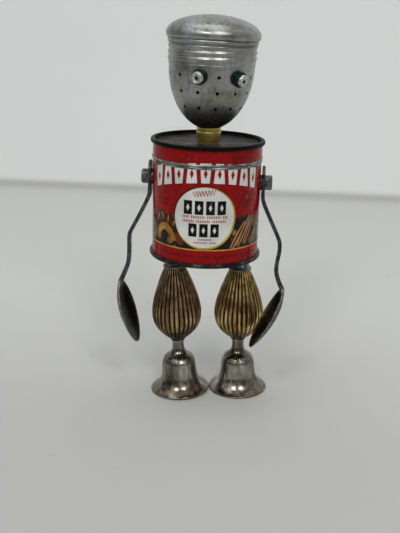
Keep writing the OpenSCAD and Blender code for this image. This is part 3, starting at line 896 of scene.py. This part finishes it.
def medallion():
    """The round medallion, with two rows of blocks, a wavy line and rows of ticks."""
    u, h = -1.1, 38.1
    printed("medallion_line", [disc(u - 0.3, h + 0.2, 24.2)], 2, INK_BLACK)
    printed("medallion_gold", [disc(u, h, 23.7)], 3, INK_GOLD)
    printed("medallion", [disc(u - 0.55, h + 0.45, 22.8)], 4, INK_WHITE)
    blocks, holes = [], []
    upper, lower = even_row(-17.2, 4, 6.4, 2.0), even_row(-13.2, 3, 6.2, 2.0)
    for row, foot, tall in ((upper, 41.0, 10.4), (lower, 24.2, 10.0)):
        for a, b in row:
            blocks.append(bar((a + b) / 2, foot, b - a, tall))
            holes.append(diamond((a + b) / 2, foot + tall / 2, (b - a) * 0.42, tall * 0.52))
    printed("medallion_bars", blocks, 5, INK_BLACK)
    printed("medallion_holes", holes, 6, INK_WHITE)
    wavy = [(-10.6 + 0.42 * i, 56.0 + 0.05 * i + 2.0 * math.sin(i * 1.15)) for i in range(42)]
    ticks = []
    rows = ((38.2, -17.6, 26, 2.0), (35.0, -17.6, 26, 1.9), (21.4, -6.8, 10, 1.5), (19.0, -8.8, 13, 1.4))
    for foot, start, count, tall in rows:
        shown = [i for i in range(count) if (i * 7 + int(foot)) % 9 != 3]
        ticks += [bar(start + 1.32 * i, foot, 0.72, tall) for i in shown]
    printed("medallion_red", [ribbon(wavy, 0.6)] + ticks, 5, INK_RED)


def small_marks():
    """Rows of dark ticks on both sides of the medallion, and one right round the foot of the tin."""
    ticks = []
    for start in (-42.5, 24.5):
        for row in range(2):
            shown = [i for i in range(9) if (i + row) % 5 != 3]
            ticks += [bar(start + 1.7 * i, 48.4 - 3.4 * row, 0.9, 1.9) for i in shown]
    band = [bar(-62 + 2.1 * i, 8.0, 1.2, 1.6) for i in range(60) if i % 11 not in (4, 10)]
    printed("small_marks", ticks + band, 1, INK_WINE)


def label():
    """The printed label: an arched row of blocks that runs on to the lid, a medallion and small marks."""
    edge = 1.6
    printed("row_shadow", keystones(0.5, -0.55), 1, INK_WINE, high=LID_LINE - edge)
    printed("row_blocks", keystones(), 2, INK_WHITE, high=LID_LINE - edge)
    printed("row_tops", keystones(), 2, INK_WHITE, lid=True, low=LID_LINE + edge)
    printed("row_diamonds", diamonds(), 3, PAINTS["red_litho"], high=LID_LINE - edge)
    medallion()
    small_marks()


HEAP_FOOT_H = 14.4  # where the heap ends on the gold line
LINE_LOW_H = 13.5  # the gold line's lower edge

# Nuts in the heap, each as (across, height, length, width, turn)
PECANS = [(26.0, 24.0, 26, 6.0, 58), (31.4, 27.0, 28, 5.6, 60), (37.0, 27.6, 26, 5.6, 62)]
DARK_NUTS = [
    (-42.5, 35, 9, 5, 70), (-37.2, 36.5, 8.5, 5, 110), (-31, 34.8, 8.5, 5, 80), (-25, 33, 8, 5.6, 60),
    (-20.5, 21, 10, 6, 120), (-52.5, 31, 9, 6, 40),
]
PALE_NUTS = [
    (43.5, 21.5, 15, 7.6, 55), (45.5, 33, 13, 6, 75), (-49, 24, 16, 7.5, 100), (-54.5, 20, 12, 7, 60),
    (52.5, 25, 14, 7, 100),
]


def nut_lights():
    """Pale lines: two along each pecan and one along each of the first dark nuts."""
    lines = []
    for u, h, length, width, turn in PECANS:
        for across in (-0.22, 0.30):
            line = []
            for t in (-0.44, -0.15, 0.15, 0.44):
                line.append(on_nut(u, h, turn, length * t, width * across * (1 - 2.2 * t * t)))
            lines.append(ribbon(line, 0.9))
    for u, h, _, _, turn in DARK_NUTS[:4]:
        ends = [on_nut(u, h, turn, x, 0) for x in (-2.6, 2.6)]
        lines.append(ribbon([ends[0], (u, h + 0.4), ends[1]], 0.7))
    return lines


def nut_pile():
    """The printed heap of nuts above the gold line."""
    side = 63.0
    crest = [
        (-side, 31), (-56, 35), (-50, 33), (-44, 38.5), (-38, 41), (-33, 38), (-28, 39.5), (-22, 36),
        (-12, 30), (12, 30), (22, 37), (27, 38), (33, 40), (39, 37), (45, 38.5), (51, 34.5), (57, 35.5),
        (side, 31),
    ]
    heap = [(-side, HEAP_FOOT_H), (side, HEAP_FOOT_H)] + [tuple(p) for p in smooth(crest, 5)][::-1]
    cashew = [(-40.5, 18), (-41.6, 22.5), (-39, 27), (-33.8, 28.6), (-29, 25.6), (-27, 20.4), (-29.6, 16.6)]
    shine = [(-40.2, 22.6), (-38.4, 26.2), (-34.0, 27.4)]
    printed("nut_heap", [heap], 1, INK_HEAP)
    printed("nuts_dark", [nut(*n) for n in DARK_NUTS], 2, INK_NUT)
    printed("nuts_pale", [nut(*n) for n in PALE_NUTS], 3, INK_STONE)
    printed("nuts_brown", [nut(*n) for n in PECANS], 3, INK_NUT)
    printed("cashew", [ribbon(cashew, 5.6)], 4, INK_TAN)
    printed("nut_lights", nut_lights() + [ribbon(shine, 1.5)], 5, INK_CREAM)


label()
nut_pile()
ring("gold_line", BODY_R + 0.14, LINE_LOW_H, HEAP_FOOT_H, 0.06, "tin", "red_litho", INK_GOLD)


# ---- Legs ----


def bell(side):
    """A hand bell with a flared lip, a groove round its shoulder and a waisted stem."""
    wall, inside_r = 1.1, 21.6
    lip = oval(BELL_FOOT_R - 0.35, 0.75, 0.75, 0.75, -90, 60, 6)
    flare = [(22.6, 1.8), (19.6, 4.2), (16.8, 7.7), (15, 12), (14.35, 16), (14, 20), (13.75, 23.2)]
    skin = smooth(flare + [(13.2, 25.8), (12.35, 27.5)], 5)
    inner = [(min(p.x, inside_r), p.y) for p in beside(skin, wall)][::-1]
    shoulder = [(12.1, 27.9), (12.2, 28.4), (11.3, 29.4), (9.8, 30.5), (8.1, 31.6), (6.6, 32.9)]
    stem = smooth(shoulder + [(5.5, 34.8), (4.95, 37), (4.8, 39.5), (4.8, BELL_H - 1.5)], 5)
    flange = oval(5.0, BELL_H - 0.75, 0.95, 0.7, -75, 80, 6)
    outline = [(0, 30.4), (8, 29.4), *inner, (22.1, 0.4), (22.3, 0), *lip, *skin, *stem, *flange]
    outline += [(0, BELL_H)]
    verts, faces = turned(outline, 128, dents(0.14, 12, 5 if side == "left" else 9))
    piece(f"{side}_bell_shell", verts, faces, BELL[side], "tin", "bell_silver", [f"{side}_bell"])


def bulb(side):
    """A teardrop bulb of convex flutes that run in to both ends."""
    top = BULB_H[side]
    wide = BULB_WIDE_SHARE * top
    belly = bezier((6.4, 0.6), (11.5, 4.6), (BULB_R, wide - 12.6), (BULB_R, wide), 26)
    taper = bezier((BULB_R, wide + 0.6), (BULB_R, wide + 10), (13.6, top - 11.2), (8, top), 30)
    path = [(0, 0.4), (5.6, 0.1)] + belly + taper + [(0, top - 0.05)]
    points_a_flute = 10
    turn = 0.1 if side == "left" else 0.25

    def across(a):
        """Where angle a lies across its flute, from -1 to 1."""
        return (a * FLUTES / TURN + turn) % 1 * 2 - 1

    def flute(a, r, z):
        """How far a point is moved out: the surface sinks away from each crest, a little unevenly."""
        groove = 0.06 * min(r, 18) + 0.08
        uneven = 0.35 * noise.noise(Vector((math.floor(a * FLUTES / TURN + turn), z / 9, 7 * turn)))
        return -groove * across(a) ** 2 * (1 + uneven) + 0.12 * uneven

    verts, faces = turned(path, FLUTES * points_a_flute, flute)
    marks = {"groove": [abs(across(math.atan2(y, x) % TURN)) ** 1.6 for x, y, z in verts]}
    piece(f"{side}_fluted_bulb", verts, faces, BULB[side], "tin", "bulb_brass", [f"{side}_bulb"], marks)


for side in SIDES:
    bell(side)
    bulb(side)


# ---- Arms ----

# Each handle's middle line from its round end to its neck, as (out from the tin, up from the bolt)
SPOON_LINE = {
    "left": [
        (2.3, 13), (2.3, 4), (2.3, -8), (3.3, -15.5), (9.8, -29.5), (15.8, -41.3), (18.2, -47), (18.3, -57),
        (18.7, -68), (20.7, -75),
    ],
    "right": [
        (2.3, 13), (2.3, 4), (2.3, -7), (3, -14.8), (9, -28.3), (15.4, -41.6), (17.0, -47), (17.0, -53.4),
        (15.8, -60.4), (15.3, -67.8), (17.2, -75.2),
    ],
}
SPOON_ROOT = {"left": (25.1, -86), "right": (20.6, -82.4)}
SPOON_TIP = {"left": (9.9, -135.4), "right": (-3.1, -128)}
SPOON_TURN = {"left": 10, "right": 11}  # of each bowl about the upright
SPOON_SWING = {"left": 3, "right": 12.5}  # of each arm about its bolt
SPOON_WIDTH, SPOON_DEPTH = 31, 5.9  # of a bowl
SPOON_END_HALF, SPOON_NECK_HALF = 7.8, 2.9  # half widths of a handle's round end and neck
BOWL_WIDE = 0.45  # the share of a bowl's length where it is widest


def arm_place(side):
    """An arm's frame in mm, from where its bolt leaves the tin: X out from the tin and Z up the arm."""
    facts = joint(f"{side}_arm_swing")
    sign = 1 if side == "left" else -1
    out = Vector(facts["axis"]) * sign
    back = Vector((0, 0, 1)).cross(out).normalized()
    turn = Matrix((out, back, out.cross(back))).transposed().to_4x4()
    start = Vector(facts["pos_m"]) - out * 2 * MM
    swing = Matrix.Rotation(math.radians(SPOON_SWING[side] * sign), 4, "X")
    return Matrix.Translation(start) @ turn @ swing @ Matrix.Scale(MM, 4)


def spoon_stations(side):
    """Stations from the round end to the tip: (point, half width, dish, thickness, 1 in the bowl)."""
    handle = smooth(SPOON_LINE[side] + [SPOON_ROOT[side]], 6)
    stations = []
    for point in handle[:-1]:
        down = handle[0].y - point.y
        stations.append((point, handle_half_width(down), 0.0, spoon_thickness(down), 0.0))
    root, tip = Vector(SPOON_ROOT[side]), Vector(SPOON_TIP[side])
    bowl_steps = 30
    for i in range(bowl_steps + 1):
        s = 0.5 - 0.5 * math.cos(math.pi * i / bowl_steps)
        dish = SPOON_DEPTH * bowl_depth_share(s)
        thick = 1.3 + 2.4 * max(0, 1 - s / 0.16) ** 2
        stations.append((root + (tip - root) * s, bowl_half_width(s), dish, thick, 1.0))
    return stations


def spoon_section(side, station, run, places):
    """The points round a spoon at one station, where its middle line runs along run.

    The places across it go from -1 to 1. The bowl is turned about the upright, and the handle isn't.
    """
    point, half, dish, thick, in_bowl = station
    root = Vector(SPOON_ROOT[side])
    normal = Vector((-run.y, run.x))
    normal = normal if normal.x > 0 else -normal
    share = min(1, max(0, (root.y + 6 - point.y) / 12))
    turn = math.radians(SPOON_TURN[side]) * (-1 if side == "left" else 1)
    turn *= share * share * (3 - 2 * share)
    outer, inner = [], []
    for u in places:
        middle = dish * (1 - abs(u) ** 2.4)
        skin = thick * (0.5 - (0.06 + 0.2 * in_bowl) * abs(u) ** 6)
        for line, lift in ((outer, middle + skin), (inner, middle - skin)):
            p = point + normal * lift
            x, y = p.x - root.x, u * half
            turned_x = x * math.cos(turn) - y * math.sin(turn) + root.x
            turned_y = x * math.sin(turn) + y * math.cos(turn)
            line.append((turned_x, turned_y, p.y))
    return outer + inner[::-1]


def spoon(side):
    """A bent spoon as one lofted sheet, from the round end of its handle to the tip of its bowl."""
    across = 17
    places = [math.sin((k / (across - 1) - 0.5) * math.pi) for k in range(across)]
    stations = spoon_stations(side)
    line = [station[0] for station in stations]
    verts, edge = [], []
    for i, station in enumerate(stations):
        run = (line[min(i + 1, len(line) - 1)] - line[max(i - 1, 0)]).normalized()
        verts += spoon_section(side, station, run, places)
        in_bowl = station[-1]
        rubbed = [(0.3 + 0.7 * in_bowl) * abs(u) ** 12 for u in places]
        edge += [max(share, 0.14 * in_bowl) for share in rubbed] + rubbed[::-1]
    n = 2 * across
    last = len(verts) - n
    faces = tube(len(stations), n)
    for k in range(across - 1):
        faces.append((k + 1, k, n - 1 - k, n - 2 - k))
        faces.append((last + k, last + k + 1, last + n - 2 - k, last + n - 1 - k))
    name, body, nodes = f"{side}_spoon_arm", f"{side}_arm", [f"{side}_spoon"]
    made = piece(name, verts, faces, arm_place(side), body, "spoon_metal", nodes, {"edge": edge})
    bm = bmesh.new()
    bm.from_mesh(made.data)
    bmesh.ops.recalc_face_normals(bm, faces=bm.faces[:])
    bm.to_mesh(made.data)
    bm.free()
    soft = made.modifiers.new("soft", "SUBSURF")
    soft.levels = soft.render_levels = 1


def handle_half_width(down):
    """Half the handle's width at a distance below the top of its round end."""
    end_h, taper_h = 7, 50
    if down < end_h:
        return max(0.6, SPOON_END_HALF * math.sqrt(max(0, 1 - ((end_h - down) / end_h) ** 2)))
    t = min(1, (down - end_h) / taper_h)
    return SPOON_END_HALF + (SPOON_NECK_HALF - SPOON_END_HALF) * t * t * (3 - 2 * t)


def spoon_thickness(down):
    """The handle's thickness at a distance below the top of its round end."""
    return 2.3 + 0.75 * min(1, max(0, (down - 16) / 14)) + 0.7 * min(1, max(0, (down - 75) / 20))


def bowl_half_width(s):
    """Half the bowl's width at a share of the way from its root to its tip."""
    if s < BOWL_WIDE:
        t = s / BOWL_WIDE
        swell = math.sqrt(max(0, 1 - (1 - t) ** 2)) * (0.5 + 0.5 * t**0.35)
        return SPOON_NECK_HALF + (SPOON_WIDTH / 2 - SPOON_NECK_HALF) * swell
    t = (s - BOWL_WIDE) / (1 - BOWL_WIDE)
    return max(0.15, SPOON_WIDTH / 2 * math.sqrt(max(0, 1 - t * t)))


def bowl_depth_share(s):
    """The bowl's depth along its middle, as a share of its deepest."""
    if s < BOWL_WIDE:
        return 1 - (1 - s / BOWL_WIDE) ** 2.7
    return 1 - ((s - BOWL_WIDE) / (1 - BOWL_WIDE)) ** 1.8


for side in SIDES:
    spoon(side)


# ---- Stage ----


def board_paint():
    """A pale, lightly marked board, painted darker toward the front as shade, and a paler wall above its shaded
    bend.
    """
    p = Paint("board")
    cloud = p.noise(260, 3)
    front = p.mix(cloud, (0.50, 0.50, 0.475), (0.55, 0.55, 0.52))
    rear = p.mix(cloud, (0.66, 0.66, 0.63), (0.71, 0.71, 0.675))
    # The front of the board is painted darker than the rear: painted shade.
    board = p.mix(p.fit(p.along("Y"), -0.18, 0.25), front, rear)
    board = p.mix(p.fit(p.noise(5, 5, (5, 1, 1)), 0.66, 0.74, 0, 0.35), board, (0.36, 0.36, 0.34))
    wall = p.mix(cloud, (0.88, 0.91, 0.90), (0.93, 0.95, 0.94))
    base = p.mix(p.fit(p.along("Z"), 0.0, 0.02), board, wall)
    from_bend = p.math("ABSOLUTE", p.math("SUBTRACT", p.along("Z"), 0.008))
    base = p.mix(p.fit(from_bend, 0.0, 0.014, 0.5, 0), base, (0.30, 0.30, 0.29))
    return p.set(Base_Color=base, Roughness=0.75)


def stage():
    """A pale board with a paper wall that sweeps up behind it, set a little askew. Sizes are in metres."""
    front, back, half_width, wall_h, bend, askew = -3.0, 0.70, 4.0, 2.5, 0.012, -11
    corner = oval(back - bend, bend, bend, bend, -90, 0, 8)
    path = [(front, 0.0), *corner, (back + 0.05, wall_h)]
    verts = [(x, y, z) for y, z in path for x in (-half_width, half_width)]
    faces = [(2 * i, 2 * i + 1, 2 * i + 3, 2 * i + 2) for i in range(len(path) - 1)]
    floor = solid("floor", verts, faces, board_paint())
    floor.rotation_euler.z = math.radians(askew)


def lamp(name, azimuth, elevation, distance, size, power):
    """A square lamp that faces the tin, from an azimuth about Z and an elevation in degrees."""
    aim = Vector((0, 0, 0.18))
    a, e = math.radians(azimuth), math.radians(elevation)
    away = Vector((math.cos(e) * math.cos(a), math.cos(e) * math.sin(a), math.sin(e)))
    light = bpy.data.lights.new(name, "AREA")
    light.shape = "SQUARE"
    light.size = size
    light.energy = power
    made = bpy.data.objects.new(name, light)
    made.location = aim + away * distance
    made.rotation_euler = away.to_track_quat("Z", "Y").to_euler()
    bpy.context.scene.collection.objects.link(made)


def camera():
    """The camera stands a little above the head and looks down at the figure."""
    look_down = 18
    data = bpy.data.cameras.new("camera")
    data.lens, data.sensor_width = 54.1, 36
    made = bpy.data.objects.new("camera", data)
    made.location = (0.0005, -0.610, 0.3047)
    made.rotation_euler = (math.radians(90 - look_down), 0, 0)
    bpy.context.scene.collection.objects.link(made)
    bpy.context.scene.camera = made


def room(strength):
    """Soft light from the ceiling, over a darker and uneven room."""
    world = bpy.data.worlds.new("room")
    bpy.context.scene.world = world
    world.use_nodes = True
    tree = world.node_tree
    way = add_node(tree, "ShaderNodeTexCoord").outputs["Generated"]
    rise = add_node(tree, "ShaderNodeSeparateXYZ", {"Vector": way}).outputs["Z"]
    stops = [
        (0.0, (0.13, 0.125, 0.12)),
        (0.22, (0.22, 0.22, 0.22)),
        (0.5, (0.62, 0.62, 0.62)),
        (1.0, (0.95, 0.98, 1.0)),
    ]
    patch = add_node(tree, "ShaderNodeTexNoise", {"Vector": way, "Scale": 3.2, "Detail": 1}).outputs["Fac"]
    facts = {"Value": patch, "From Min": 0.35, "From Max": 0.65, "To Min": 0.2, "To Max": 1.9}
    spread = add_node(tree, "ShaderNodeMapRange", facts).outputs[0]
    power = add_node(tree, "ShaderNodeMath", {0: spread, 1: strength}, operation="MULTIPLY").outputs[0]
    back = tree.nodes["Background"]
    tree.links.new(colour_ramp(tree, rise, stops), back.inputs["Color"])
    tree.links.new(power, back.inputs["Strength"])


stage()
lamp("lamp_left", FRONT - 21, 42, 2.6, 0.56, 13)
lamp("lamp_right", FRONT + 21, 42, 2.6, 0.56, 13)
lamp("lamp_top", FRONT + 180, 76, 2.4, 1.8, 12)
room(0.75)
camera()
bpy.context.scene.view_settings.view_transform = "Standard"
